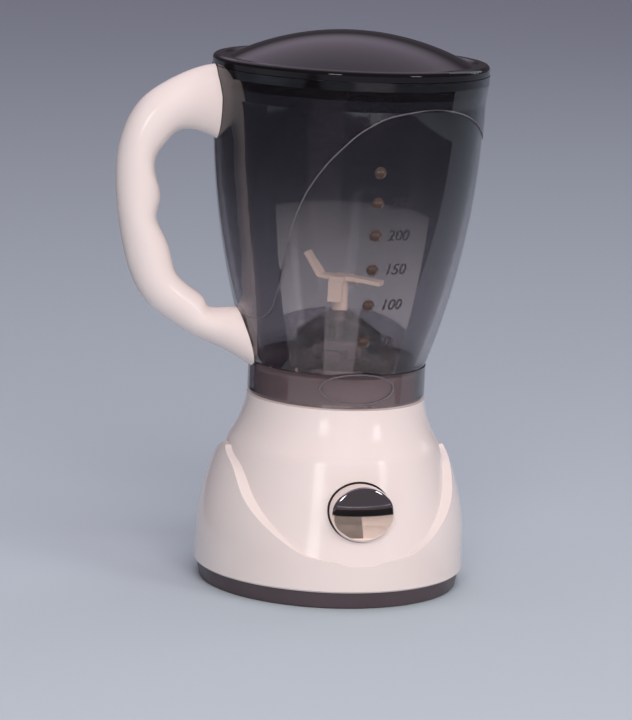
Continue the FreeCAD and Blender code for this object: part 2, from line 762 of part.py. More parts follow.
def make_motor():
    """Small direct-current motor: steel can, plastic end cap and turning shaft, held
    under the deck by a clamp and two screws."""
    top = size("seat_height") - size("deck") - 0.1
    can_low = top - size("motor_length")
    cap_low = can_low - size("motor_cap")
    clamp_low = cap_low - size("clamp_plate")
    radius = size("motor_radius")
    flat = size("motor_flat")

    wall = size("motor_wall")

    def flatted(low, high, inset):
        round_can = Part.makeCylinder(radius - inset, high - low, Vector(0, 0, low))
        block = Part.makeBox(4 * radius, 2 * (flat - inset), high - low,
                             Vector(-2 * radius, -(flat - inset), low))
        return round_can.common(block)

    bore = Part.makeCylinder(size("motor_shaft") + size("bearing_gap"), 2 * top)
    nose = Part.makeCylinder(size("motor_nose"), size("motor_nose_height") + 0.5,
                             Vector(0, 0, top - 0.5))
    room = flatted(can_low - 1, top - wall, wall)
    can = flatted(can_low, top, 0.0).fuse(nose).cut([room, bore]).removeSplitter()
    keep("motor_can", solid("motor_can_solid", can))
    make_rotor(can_low)
    magnet_ring = Part.makeCylinder(radius - wall, size("armature_length"),
                                    Vector(0, 0, can_low + size("armature_above_cap")))
    magnet_ring = magnet_ring.cut(Part.makeCylinder(radius - wall - size("magnet_wall"), 2 * top))
    slab = Part.makeBox(4 * radius, size("magnet_width"), 2 * top,
                        Vector(-2 * radius, -size("magnet_width") / 2, 0))
    keep("motor_magnets", solid("motor_magnet_pair", magnet_ring.common(slab)))
    cap = flatted(cap_low, can_low - 0.02, 0.3).cut(bore)
    keep("motor_end_cap", solid("motor_end_cap_solid", cap))
    reach = size("clamp_reach")
    ear = size("clamp_boss")
    plate = size("clamp_plate") - 0.1
    bar = Part.makeBox(2 * reach, 2 * ear, plate, Vector(-reach, -ear, clamp_low))
    ears = [Part.makeCylinder(ear, plate, Vector(x, 0, clamp_low)) for x in (-reach, reach)]
    disc = Part.makeCylinder(radius * 0.8, plate, Vector(0, 0, clamp_low))
    window = Part.makeCylinder(size("motor_nose"), 2 * plate, Vector(0, 0, clamp_low - 1))
    holes = [Part.makeCylinder(size("small_screw") + 0.1, 2 * plate, Vector(x, 0, clamp_low - 1))
             for x in (-reach, reach)]
    clamp = bar.fuse(ears + [disc]).cut([window] + holes).removeSplitter()
    keep("motor_clamp", solid("motor_clamp_solid", clamp))
    screws = [small_screw(6.0, Vector(x, 0, clamp_low)) for x in (-reach, reach)]
    keep("motor_clamp_screws", solid("motor_clamp_screw_group", Part.makeCompound(screws)))
    shaft_low = cap_low + 0.5
    shaft = rod("motor_shaft_solid", "0", "0", str(shaft_low), "motor_shaft",
                "motor_shaft_top - %s" % shaft_low)
    keep("motor_shaft", shaft)


def make_rotor(can_low):
    """What turns inside the can: an iron core with three slots for its windings, and
    the commutator below it."""
    low = can_low + size("armature_above_cap")
    tall = size("armature_length")
    bore = Part.makeCylinder(size("motor_shaft"), 4 * low)
    core = Part.makeCylinder(size("armature_radius"), tall, Vector(0, 0, low))
    slot = size("armature_slot")
    slots = []
    for index in range(3):
        cut = Part.makeBox(size("armature_radius"), slot, tall,
                           Vector(size("commutator_radius"), -slot / 2, low))
        cut.rotate(Vector(0, 0, 0), Vector(0, 0, 1), 120 * index)
        slots.append(cut)
    core = core.cut(slots + [bore]).removeSplitter()
    keep("motor_armature", solid("motor_armature_solid", core))
    drum = Part.makeCylinder(size("commutator_radius"), size("commutator_length"),
                             Vector(0, 0, low - size("commutator_length")))
    keep("motor_commutator", solid("motor_commutator_solid", drum.cut(bore)))


def dog(low, upwards, bore, hub_low, hub_high, turn):
    """One half of the drive coupling: a disc with three driving teeth."""
    disc = Part.makeCylinder(size("dog_radius"), size("dog_disc"), Vector(0, 0, low))
    tooth_low = low + size("dog_disc") - 0.3 if upwards else low - size("dog_tooth")
    teeth = []
    for index in range(int(size("dog_teeth"))):
        angle = size("dog_tooth_angle")
        outer = Part.makeCylinder(size("dog_radius"), size("dog_tooth") + 0.3,
                                  Vector(0, 0, tooth_low), Vector(0, 0, 1), angle)
        inner = Part.makeCylinder(size("dog_tooth_inner"), 20, Vector(0, 0, tooth_low - 5))
        tooth = outer.cut(inner)
        start = turn + index * 360 / size("dog_teeth") - angle / 2
        tooth.rotate(Vector(0, 0, 0), Vector(0, 0, 1), start)
        teeth.append(tooth)
    hub = Part.makeCylinder(size("dog_hub"), hub_high - hub_low, Vector(0, 0, hub_low))
    hole = Part.makeCylinder(bore, 60, Vector(0, 0, low - 30))
    return disc.fuse(teeth + [hub]).cut(hole).removeSplitter()


def make_coupling():
    """Driving dog on the motor shaft and driven dog under the blade."""
    low = size("seat_height") + 1.0
    driver = dog(low, True, size("motor_shaft"), low, low + size("dog_disc") + 1.0, 0)
    keep("drive_coupling", solid("drive_coupling_solid", driver))
    driven_low = driven_dog_low()
    half_pitch = 180 / size("dog_teeth")
    driven = dog(driven_low, False, size("blade_shaft"), driven_low,
                 driven_low + size("dog_disc") + 1.0, half_pitch)
    keep("driven_coupling", solid("driven_coupling_solid", driven))


def driven_dog_low():
    """Height of the underside of the driven dog's disc."""
    return size("seat_height") + 1.0 + size("dog_disc") + size("dog_tooth") + 0.8


def jug_radius(height):
    """Outside radius of the jug at a height."""
    curve = size("jug_curve")
    if height >= size("shoulder_height"):
        return size("shoulder_radius")
    drop = size("shoulder_height") - height
    body = size("shoulder_radius") - curve + math.sqrt(curve * curve - drop * drop)
    return max(body, size("collar_radius"))


def make_jug():
    """Smoky jug: a turned shell with a collar, a floor that rises to a bell over the
    coupling, a stepped front panel, six round level marks and two handle lugs."""
    collar_top = ("shoulder_height - sqrt(jug_curve ^ 2"
                  " - (jug_curve - shoulder_radius + collar_radius) ^ 2)")
    inner_curve = "jug_curve - jug_wall"
    floor_top = "floor_height + floor_plate"
    floor_edge = ("shoulder_radius - jug_curve + sqrt((" + inner_curve + ") ^ 2"
                  " - (shoulder_height - " + floor_top + ") ^ 2)")
    low = "neck_height + jug_gap"
    body = new_body("jug_turned")
    spun(body, "jug_shell", [
        ("collar_radius - collar_wall", low),
        ("collar_radius - collar_round", low),
        ("collar_radius - collar_round * 0.3", low + " + collar_round * 0.3"),
        ("collar_radius", low + " + collar_round"),
        ("collar_radius", collar_top, "jug_curve", 1),
        ("shoulder_radius", "shoulder_height"),
        ("rim_radius", "rim_low"),
        ("rim_radius", "rim_top"),
        ("rim_radius - jug_wall", "rim_top"),
        ("rim_radius - jug_wall", "rim_low"),
        ("shoulder_radius - jug_wall", "shoulder_height", inner_curve, -1),
        (floor_edge, floor_top),
        ("bell_radius", floor_top),
        ("bell_radius", "bell_shoulder"),
        ("bell_top_radius", "bell_top"),
        ("bush_radius", "bell_top"),
        ("bush_radius", "bell_top - bush_length"),
        ("bell_top_radius + 1", "bell_top - bush_length"),
        ("bell_radius - bell_wall", "bell_shoulder - 1.2"),
        ("bell_radius - bell_wall", "floor_height"),
        ("collar_radius - collar_wall", "floor_height"),
    ])
    panelled = cut_from("jug_panelled", body, panel_step())
    added = [solid("level_mark_%d" % (index + 1), mark)
             for index, mark in enumerate(level_marks())]
    added += [solid("handle_lug_%d" % (index + 1), lug) for index, lug in enumerate(handle_lugs())]
    added.append(solid("plate_border", plate_border()))
    keep("jug_body", joined("jug_body_solid", panelled, *added))


def level_marks():
    """Round domed studs up the front, closer together as the jug widens."""
    radius = size("mark_radius")
    rise = size("mark_rise")
    ball = (radius * radius + rise * rise) / (2 * rise)
    studs = []
    height = size("mark_first")
    for index in range(int(size("marks"))):
        face = jug_radius(height) - size("panel_depth")
        dome = Part.makeSphere(ball, Vector(0, ball - rise - face, height), Vector(0, -1, 0))
        barrel = Part.makeCylinder(radius, 3 + rise, Vector(0, 1 - face, height), Vector(0, -1, 0))
        studs.append(dome.common(barrel))
        height += size("mark_step") - index * size("mark_shrink")
    return studs


def plate_border():
    """Raised oval line round the bare plate at the front of the collar."""
    middle = size("plate_middle")

    def prism(half_width, half_height):
        ellipse = Part.Ellipse(Vector(0, 0, 0), half_width, half_height).toShape()
        face = Part.Face(Part.Wire([ellipse]))
        block = face.extrude(Vector(0, 0, 20))
        block.rotate(Vector(0, 0, 0), Vector(1, 0, 0), 90)
        block.translate(Vector(0, -20, middle))
        return block
    half_width = size("plate_width") / 2
    half_height = size("plate_height") / 2
    line = size("plate_line")
    oval_ring = prism(half_width, half_height).cut(prism(half_width - line, half_height - line))
    radius = size("collar_radius")
    shell = Part.makeCylinder(radius + size("plate_raise"), 20, Vector(0, 0, middle - 10))
    shell = shell.cut(Part.makeCylinder(radius - 0.5, 20, Vector(0, 0, middle - 10)))
    return oval_ring.common(shell)


def panel_step():
    """The skin that is taken off below the curved line round the jug."""
    body = new_body("panel_skin")
    collar_top = ("shoulder_height - sqrt(jug_curve ^ 2"
                  " - (jug_curve - shoulder_radius + collar_radius) ^ 2)")
    spun(body, "panel_skin_turn", [
        ("collar_radius - panel_depth", collar_top, "jug_curve", 1),
        ("shoulder_radius - panel_depth", "shoulder_height"),
        ("shoulder_radius + 3", "shoulder_height"),
        ("shoulder_radius + 3", collar_top),
    ])
    line = Part.BSplineCurve()
    line.interpolate([Vector(x, 0, z) for x, z in PANEL_LINE])
    end_x, end_z = PANEL_LINE[-1]
    start_x, start_z = PANEL_LINE[0]
    low = size("floor_height") - 5
    corners = [Vector(end_x, 0, end_z), Vector(end_x, 0, low), Vector(start_x, 0, low),
               Vector(start_x, 0, start_z)]
    edges = [line.toShape()] + [Part.LineSegment(a, b).toShape()
                                for a, b in zip(corners, corners[1:])]
    face = Part.Face(Part.Wire(edges))
    face.translate(Vector(0, 80, 0))
    prism = solid("panel_prism", face.extrude(Vector(0, -160, 0)))
    return shared("panel_cut", body, prism)


def handle_section(station, inset):
    """One oval section of the handle, square to its centre line."""
    inner_x, inner_z, outer_x, outer_z = station
    inner = Vector(-inner_x, 0, inner_z)
    outer = Vector(-outer_x, 0, outer_z)
    centre = (inner + outer) * 0.5
    reach = (outer - inner) * 0.5
    across = Vector(reach).normalize() * (reach.Length - inset)
    side = Vector(0, size("handle_width") / 2 - inset, 0)
    normal = across.cross(side).normalize()
    matrix = FreeCAD.Matrix(across.x, side.x, normal.x, centre.x,
                            across.y, side.y, normal.y, centre.y,
                            across.z, side.z, normal.z, centre.z,
                            0, 0, 0, 1)
    circle = Part.Wire([Part.makeCircle(1.0)])
    return Part.Wire(circle.transformGeometry(matrix).Edges)


def handle_bar(inset):
    """The handle as one solid bar, drawn in all round by an inset."""
    return Part.makeLoft([handle_section(station, inset) for station in HANDLE_LINE], True, False)


def handle_lugs():
    """Two flat lugs on the jug that the handle's halves close over, each with a hole
    for a screw."""
    width = size("lug_width")
    room = handle_bar(size("handle_wall") + size("fit_gap"))
    lugs = []
    for (low, high, reach), (screw_x, screw_z) in zip(LUGS, HANDLE_SCREWS):
        block = Part.makeBox(30, width, high - low, Vector(-reach, -width / 2, low))
        block = block.cut(jug_envelope(-1.0))
        hole = Part.makeCylinder(size("small_screw") + 0.2, 2 * width,
                                 Vector(-screw_x, -width, screw_z), Vector(0, 1, 0))
        lugs.append(block.common(room).cut(hole))
    return lugs


def make_handle():
    """Cream handle in two hollow halves that meet over the jug's lugs. Two screws go
    in from the rear, through the lugs, into posts inside the front half."""
    bar = handle_bar(0)
    outside = bar.cut(jug_envelope(size("handle_gap")))
    shell = outside.cut(handle_bar(size("handle_wall")))
    half = size("handle_width") / 2
    lug = size("lug_width") / 2 + size("handle_parting")
    reach = 200.0
    front = shell.common(Part.makeBox(reach, reach, reach, Vector(-reach, -reach, 20)))
    parting = size("handle_parting")
    rear = shell.common(Part.makeBox(reach, reach, reach, Vector(-reach, parting, 20)))
    along = Vector(0, 1, 0)
    screws = []
    for x, z in HANDLE_SCREWS:
        post = Part.makeCylinder(size("handle_boss"), half, Vector(-x, -lug - half, z), along)
        front = front.fuse(post.common(outside))
        post = Part.makeCylinder(size("handle_boss"), half, Vector(-x, lug, z), along)
        rear = rear.fuse(post.common(outside))
        head = half - size("handle_screw_sink")
        pilot = Part.makeCylinder(size("small_screw"), 2 * half, Vector(-x, -half + 1.6, z), along)
        front = front.cut(pilot)
        through = Part.makeCylinder(size("small_screw") + 0.1, 2 * half, Vector(-x, 0, z), along)
        sink = Part.makeCylinder(size("small_screw_head") + 0.2, half,
                                 Vector(-x, head - size("small_screw_cap"), z), along)
        rear = rear.cut([through, sink])
        turn = (Vector(1, 0, 0), 90)
        place = Vector(-x, head - size("small_screw_cap"), z)
        screws.append(small_screw(size("handle_screw_length"), place, turn))
    keep("handle_front", solid("handle_front_solid", whole(front)))
    keep("handle_rear", solid("handle_rear_solid", whole(rear)))
    keep("handle_screws", solid("handle_screw_group", Part.makeCompound(screws)))


def whole(shape):
    """The one large solid of a shape, without slivers that trimming left."""
    return sorted(shape.removeSplitter().Solids, key=lambda piece: piece.Volume)[-1]


def jug_envelope(gap):
    """The jug's outside as a solid, grown by a gap, to trim what meets it."""
    curve = size("jug_curve") + gap
    collar = size("collar_radius") + gap
    shoulder = Vector(size("shoulder_radius") + gap, 0, size("shoulder_height"))
    drop = math.sqrt(curve ** 2 - (curve - shoulder.x + collar) ** 2)
    mouth = Vector(collar, 0, shoulder.z - drop)
    half_drop = drop / 2
    middle = Vector(shoulder.x - curve + math.sqrt(curve ** 2 - half_drop ** 2), 0,
                    shoulder.z - half_drop)
    low = Vector(collar, 0, size("neck_height"))
    rim = Vector(size("rim_radius") + gap, 0, size("rim_low"))
    high = Vector(rim.x, 0, size("rim_top") + 10)
    corners = [shoulder, rim, high, Vector(0, 0, high.z), Vector(0, 0, low.z), low, mouth]
    edges = [Part.Arc(mouth, middle, shoulder).toShape()]
    edges += [Part.LineSegment(a, b).toShape() for a, b in zip(corners, corners[1:])]
    return Part.Face(Part.Wire(edges)).revolve(Vector(0, 0, 0), Vector(0, 0, 1), 360)


def make_blade():
    """Ivory blade on a steel spindle that turns in a bush in the bell's top."""
    top = size("bell_top")
    spindle_low = driven_dog_low() + 0.3
    spindle_top = top + size("blade_hub_length") - 2.0
    spindle = rod("spindle_solid", "0", "0", str(spindle_low), "blade_shaft",
                  "%s - %s" % (spindle_top, spindle_low))
    keep("blade_spindle", spindle)
    bush_low = top - size("bush_length")
    bush = Part.makeCylinder(size("bush_radius") - 0.02, size("bush_length"), Vector(0, 0, bush_low))
    bush = bush.cut(Part.makeCylinder(size("blade_shaft") + size("bearing_gap"), 20,
                                      Vector(0, 0, bush_low - 5)))
    keep("spindle_bush", solid("spindle_bush_solid", bush))
    low = top + 0.3
    hub = Part.makeCylinder(size("blade_hub"), size("blade_hub_length") - 0.3, Vector(0, 0, low))
    high = top + size("blade_hub_length")
    width = size("blade_width")
    thick = size("blade_thickness")
    arms = []
    for turn, run, rise in BLADE_ARMS:
        path = [(0.0, 0.0)] + list(zip(run, rise))
        outline_points = blade_profile(path, thick)
        edges = [Part.LineSegment(Vector(a[0], 0, a[1]), Vector(b[0], 0, b[1])).toShape()
                 for a, b in zip(outline_points, outline_points[1:] + outline_points[:1])]
        arm = Part.Face(Part.Wire(edges)).extrude(Vector(0, width, 0))
        arm.translate(Vector(0, -width / 2, high - thick / 2))
        arm.rotate(Vector(0, 0, 0), Vector(0, 0, 1), turn + size("blade_turn"))
        arms.append(arm)
    hole = Part.makeCylinder(size("blade_shaft"), 40, Vector(0, 0, spindle_top - 40))
    rotor = hub.fuse(arms).cut(hole).removeSplitter()
    keep("blade_rotor", solid("blade_rotor_solid", rotor))


def blade_profile(path, thick):
    """Closed side profile of a bent strip that follows a path of points."""
    upper = []
    lower = []
    for index, (x, z) in enumerate(path):
        before = path[max(index - 1, 0)]
        after = path[min(index + 1, len(path) - 1)]
        dx = after[0] - before[0]
        dz = after[1] - before[1]
        length = math.hypot(dx, dz)
        upper.append((x - dz / length * thick / 2, z + dx / length * thick / 2))
        lower.append((x + dz / length * thick / 2, z - dx / length * thick / 2))
    return upper + lower[::-1]


def make_lid():
    """Dark glossy lid: rim, shallow groove, domed middle and a skirt into the jug."""
    low = "rim_top + lid_gap"
    top = low + " + lid_rim"
    body = new_body("lid_turned")
    dome = "((dome_radius ^ 2 + dome_rise ^ 2) / (2 * dome_rise))"
    spun(body, "lid_shell", [
        ("skirt_radius", low),
        ("lid_radius", low),
        ("lid_radius", top + " - lid_round", "lid_round", 1),
        ("lid_radius - lid_round", top),
        ("dome_radius + 2.2", top),
        ("dome_radius + 1.2", top + " - 0.6"),
        ("dome_radius", top + " - 0.6", dome, 1),
        ("0", top + " - 0.6 + dome_rise"),
        ("0", top + " - 0.6 + dome_rise - lid_wall", dome, -1),
        ("dome_radius", top + " - 0.6 - lid_wall"),
        ("skirt_radius - lid_wall", low),
        ("skirt_radius - lid_wall", low + " - skirt_length"),
        ("skirt_radius - 0.4", low + " - skirt_length"),
    ])
    keep("lid", body)


def make_button():
    """Chrome push button: a domed oval cap with a flange behind that keeps it in, and
    a post that presses the switch."""
    stem = oval("button_stem", "button_half_width", "button_half_height", "button_height",
                "button_edge + 4", "button_back")
    ball = doc.addObject("Part::Sphere", "button_dome_ball")
    bound(ball, Radius="button_dome", Placement__Base__z="button_height",
          Placement__Base__y="button_dome - button_edge - 2.4")
    doc.recompute()
    domed = shared("button_domed", stem, ball)
    rounded = doc.addObject("Part::Fillet", "button_rounded")
    rounded.Base = domed
    radius = size("button_round")
    rounded.Edges = [(index + 1, radius, radius) for index, edge in enumerate(domed.Shape.Edges)
                     if edge.BoundBox.YMax < -size("button_edge") + 1.0]
    doc.recompute()
    flange = oval("button_flange_solid", "button_half_width + button_lip",
                  "button_half_height + button_lip", "button_height",
                  "button_back + button_flange", "button_back")
    post = rod_along("button_post_solid", Vector(0, 1, 0), "0", "-button_back - 0.5",
                     "button_height", "button_post",
                     "button_back + 0.5 - switch_front - switch_gap")
    keep("push_button", joined("push_button_solid", rounded, flange, post))


def make_switch():
    """Push switch behind the button: case, plunger, and the bracket that carries it
    on two bosses of the bottom cover, with its screws."""
    front = size("switch_front")
    side = size("switch_side")
    height = size("button_height")
    along = Vector(0, 1, 0)
    case = Part.makeBox(side, size("switch_depth"), side,
                        Vector(-side / 2, -front, height - side / 2))
    bore = Part.makeCylinder(size("switch_pin") + size("bearing_gap"), size("switch_pin_bore") + 1,
                             Vector(0, -front - 1, height), along)
    keep("switch_case", solid("switch_case_solid", case.cut(bore)))
    pin = Part.makeCylinder(size("switch_pin"), size("switch_gap") + 1.5,
                            Vector(0, -front - size("switch_gap"), height), along)
    keep("switch_plunger", solid("switch_plunger_solid", pin))
    back = size("switch_depth") - front
    half = size("bracket_width") / 2
    plate = size("bracket_plate")
    seat = size("bracket_seat")
    foot = size("bracket_foot")
    upright = Part.makeBox(2 * half, plate, size("bracket_top") - seat, Vector(-half, back, seat))
    base = Part.makeBox(2 * half, foot + 0.5, plate, Vector(-half, back - foot, seat))
    apart = size("bracket_screws_apart") / 2
    holes = [Part.makeCylinder(size("small_screw") + 0.1, 4 * plate,
                               Vector(x, back - foot / 2, seat - plate))
             for x in (-apart, apart)]
    window = Part.makeBox(side / 2, 3 * plate, side / 2, Vector(-side / 4, back - plate, height - side / 4))
    bracket = upright.fuse(base).cut(holes + [window]).removeSplitter()
    keep("switch_bracket", solid("switch_bracket_solid", bracket))
    screws = [small_screw(size("bracket_screw_length"), Vector(x, back - foot / 2, seat + plate),
                          (Vector(1, 0, 0), 180)) for x in (-apart, apart)]
    keep("switch_bracket_screws", solid("switch_bracket_screw_group", Part.makeCompound(screws)))


EAR_ACROSS = "(bay_length / 2 + bay_wall + door_ear_place)"
BAY_FRONT = ("(sqrt((flank_radius - housing_wall - fit_gap) ^ 2 - (bay_length / 2 + bay_wall) ^ 2)"
             " - bay_wall - bay_width)")
BAY_REAR = "(" + BAY_FRONT + " + bay_width)"
EAR_ALONG = "(" + BAY_FRONT + " + bay_width / 2)"
WING_CREST = "flank_radius - wing_curve + sqrt(wing_curve ^ 2 - (wing_top - flank_height) ^ 2)"
PANEL_LINE = ((-52, 96.9), (-36.9, 96.7), (-33.0, 97.2), (-29.3, 109.2), (-27.8, 128.0),
              (-25.0, 140.8), (-21.1, 149.8), (-13.0, 160.7), (-5.0, 167.7), (5.8, 172.2),
              (30.7, 171.7), (44.6, 162.0), (52, 150))
HANDLE_LINE = ((38.0, 157.5, 38.0, 184.2), (48.0, 158.0, 49.0, 183.6), (54.5, 160.4, 58.0, 181.0),
               (62.0, 159.4, 68.6, 175.4), (67.0, 153.5, 77.2, 166.6), (68.3, 145.0, 81.6, 153.6),
               (66.4, 136.6, 81.9, 139.5), (67.3, 129.3, 80.4, 127.5), (62.4, 118.8, 77.4, 114.8),
               (60.2, 111.4, 73.2, 104.6), (53.6, 104.9, 65.5, 96.2), (47.9, 99.0, 55.5, 89.6),
               (41.0, 98.2, 46.1, 85.2), (36.0, 97.8, 37.5, 81.0), (27.0, 96.5, 27.0, 76.5))
LUGS = ((163.0, 178.0, 57.0), (84.0, 95.0, 46.0))
HANDLE_SCREWS = ((53.2, 170.5), (41.8, 91.3))
BLADE_ARMS = ((180.0, (5.0, 7.5, 13.0), (0.0, 0.3, 8.0)), (0.0, (5.0, 10.0, 15.2), (0.0, -0.3, -0.8)),
              (-90.0, (4.6, 5.6, 5.8), (0.0, -1.0, -8.0)), (90.0, (4.6, 7.0, 12.0), (0.0, -0.4, -4.0)))

make_housing()
make_cover()
make_cover_screws()
make_battery_bay()
make_motor()
make_coupling()
make_button()
make_switch()
make_jug()
make_handle()
make_blade()
make_lid()

doc.recompute()
for obj in doc.Objects:
    if "Invalid" in obj.State or "Error" in obj.State:
        raise RuntimeError("%s failed: %s" % (obj.Name, obj.State))
os.makedirs("parts", exist_ok=True)
for name, obj in parts.items():
    shape = obj.Shape
    if shape.isNull() or not shape.isValid() or not shape.Solids:
        raise RuntimeError("%s has no valid solid" % name)
    shape.exportStep("parts/" + name + ".step")
    print(name, len(shape.Solids), round(shape.Volume, 1))
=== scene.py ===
import math
import bmesh
import bpy
from mathutils import Matrix, Vector


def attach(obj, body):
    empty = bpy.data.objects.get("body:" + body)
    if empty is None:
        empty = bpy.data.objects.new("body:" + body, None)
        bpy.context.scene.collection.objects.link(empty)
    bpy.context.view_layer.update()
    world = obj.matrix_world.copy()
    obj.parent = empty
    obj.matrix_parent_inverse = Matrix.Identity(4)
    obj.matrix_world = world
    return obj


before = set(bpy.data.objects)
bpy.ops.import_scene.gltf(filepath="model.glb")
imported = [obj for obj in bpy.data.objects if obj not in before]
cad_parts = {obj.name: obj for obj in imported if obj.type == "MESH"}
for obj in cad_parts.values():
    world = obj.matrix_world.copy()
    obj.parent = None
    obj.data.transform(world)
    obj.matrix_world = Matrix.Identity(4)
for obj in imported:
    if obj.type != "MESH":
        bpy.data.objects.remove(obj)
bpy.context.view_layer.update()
scene = bpy.context.scene
scene.view_settings.view_transform = "Standard"

# The camera stands over a metre away, a little above the lid, and looks at the toy
# slightly from its handle side. It is rolled by a few degrees.
look_distance = 1.222
look_down = math.radians(10.44)
look_round = math.radians(14.2)
look_roll = math.radians(2.72)
look_aside = -0.00745
look_height = 0.0788
focal_pixels = 3441.0
frame_height = 720.0
forward = Vector((math.sin(look_round) * math.cos(look_down),
                  math.cos(look_round) * math.cos(look_down), -math.sin(look_down)))
level_right = Vector((math.cos(look_round), -math.sin(look_round), 0.0))
level_up = level_right.cross(forward)
right = level_right * math.cos(look_roll) + level_up * math.sin(look_roll)
up = level_up * math.cos(look_roll) - level_right * math.sin(look_roll)
target = level_right * look_aside + Vector((0.0, 0.0, look_height))
camera_data = bpy.data.cameras.new("camera")
camera_data.sensor_width = 36.0
camera_data.lens = focal_pixels * camera_data.sensor_width / frame_height
camera = bpy.data.objects.new("camera", camera_data)
scene.collection.objects.link(camera)
turn = Matrix((right, up, -forward)).transposed().to_4x4()
camera.matrix_world = Matrix.Translation(target - forward * look_distance) @ turn
scene.camera = camera

# The studio is a pale floor in a dim room whose far upper wall is paler. Large soft
# boxes light the toy and two small ones leave their highlights on it. Dark cloths in
# front and on the left show in reflections only.
floor_size = 12.0
floor_colour = (0.50, 0.575, 0.62)
cloth_colour = (0.045, 0.03, 0.036)
front_cloth = (2.4, 1.3, (-0.2, -0.745, 0.002))
side_cloth = (1.4, 1.6, (-0.82, 0.705, 0.002))


def flat_sheet(name, width, depth, place):
    """A level rectangle with its centre at a place."""
    mesh = bmesh.new()
    bmesh.ops.create_grid(mesh, x_segments=1, y_segments=1, size=0.5)
    bmesh.ops.scale(mesh, vec=(width, depth, 1.0), verts=mesh.verts)
    bmesh.ops.translate(mesh, vec=place, verts=mesh.verts)
    data = bpy.data.meshes.new(name)
    mesh.to_mesh(data)
    mesh.free()
    piece = bpy.data.objects.new(name, data)
    scene.collection.objects.link(piece)
    return piece


def plain_paint(name, colour, roughness):
    """A new material with its colour and roughness set on the shader."""
    material = bpy.data.materials.new(name)
    material.use_nodes = True
    shader = material.node_tree.nodes["Principled BSDF"]
    shader.inputs["Base Color"].default_value = (*colour, 1.0)
    shader.inputs["Roughness"].default_value = roughness
    return material, material.node_tree, shader


def reflections_only(piece):
    """Hides a piece from every ray but a mirrored one."""
    for ray in ("camera", "diffuse", "shadow", "transmission", "volume_scatter"):
        setattr(piece, "visible_" + ray, False)


floor = flat_sheet("floor", floor_size, floor_size, (0.0, 0.0, 0.0))
floor_paint, tree, shader = plain_paint("pale_floor", floor_colour, 0.8)
shader.inputs["Specular IOR Level"].default_value = 0.1
floor.data.materials.append(floor_paint)
cloth_paint, tree, shader = plain_paint("dark_cloth", cloth_colour, 0.9)
for name, (width, depth, place) in (("dark_cloth", front_cloth), ("side_cloth", side_cloth)):
    cloth = flat_sheet(name, width, depth, place)
    cloth.data.materials.append(cloth_paint)
    reflections_only(cloth)

room_tone = (0.075, 0.066, 0.078)
far_tone = (0.62, 0.53, 0.66)
far_lean = 0.6
fade_start = 0.80
fade_end = 1.0
world = bpy.data.worlds.new("room")
scene.world = world
world.use_nodes = True
room = world.node_tree
room.nodes.clear()
heading = room.nodes.new("ShaderNodeTexCoord")
axes = room.nodes.new("ShaderNodeSeparateXYZ")
room.links.new(heading.outputs["Generated"], axes.inputs["Vector"])
tilt = room.nodes.new("ShaderNodeMath")
tilt.operation = "MULTIPLY_ADD"
tilt.inputs[1].default_value = far_lean
room.links.new(axes.outputs["Y"], tilt.inputs[0])
room.links.new(axes.outputs["Z"], tilt.inputs[2])
wall = room.nodes.new("ShaderNodeMapRange")
wall.interpolation_type = "SMOOTHSTEP"
wall.inputs["From Min"].default_value = fade_start
wall.inputs["From Max"].default_value = fade_end
room.links.new(tilt.outputs[0], wall.inputs["Value"])
shade = room.nodes.new("ShaderNodeMix")
shade.data_type = "RGBA"
shade.inputs["A"].default_value = (*room_tone, 1.0)
shade.inputs["B"].default_value = (*far_tone, 1.0)
room.links.new(wall.outputs["Result"], shade.inputs["Factor"])
glow = room.nodes.new("ShaderNodeBackground")
room.links.new(shade.outputs["Result"], glow.inputs["Color"])
room_out = room.nodes.new("ShaderNodeOutputWorld")
room.links.new(glow.outputs[0], room_out.inputs["Surface"])
lamp_aim = Vector((0.0, 0.0, 0.06))


def soft_box(name, turn, climb, away, width, height, strength, tint, mirrored):
    """A rectangular lamp seen from the toy at a turn from the front and a climb above
    level, in degrees, whose face is as bright as the strength. Only a mirrored one
    shows in reflections."""
    data = bpy.data.lights.new(name, "AREA")
    data.shape = "RECTANGLE"
    data.size = width
    data.size_y = height
    data.energy = strength * math.pi * width * height
    data.color = tint
    lamp = bpy.data.objects.new(name, data)
    scene.collection.objects.link(lamp)
    turn = math.radians(turn)
    climb = math.radians(climb)
    spot = Vector((math.sin(turn) * math.cos(climb), -math.cos(turn) * math.cos(climb),
                   math.sin(climb)))
    lamp.location = lamp_aim + spot * away
    lamp.rotation_euler = (-spot).to_track_quat("-Z", "Y").to_euler()
    lamp.visible_glossy = mirrored
    return lamp


soft_box("front_box", -6.0, 38.0, 1.6, 1.05, 1.15, 3.7, (1.0, 0.90, 0.885), False)
soft_box("low_box", 6.0, 8.0, 1.5, 0.9, 0.5, 3.2, (1.0, 0.85, 0.82), False)
soft_box("right_box", 48.0, 30.0, 1.7, 0.55, 0.8, 2.9, (1.0, 0.95, 0.95), False)
soft_box("top_box", 0.0, 84.0, 1.8, 1.3, 1.3, 1.3, (1.0, 0.98, 1.0), False)
soft_box("left_box", -84.0, 15.0, 1.9, 0.9, 0.9, 1.25, (0.88, 0.95, 1.0), False)
soft_box("far_box", 118.0, 30.0, 2.0, 0.8, 1.2, 1.0, (0.86, 0.95, 1.0), True)
soft_box("near_highlight", -27.0, 20.0, 1.5, 0.26, 0.42, 4.5, (1.0, 0.99, 1.0), True)
soft_box("far_highlight", 41.0, 21.0, 1.5, 0.22, 0.38, 4.5, (1.0, 0.99, 1.0), True)


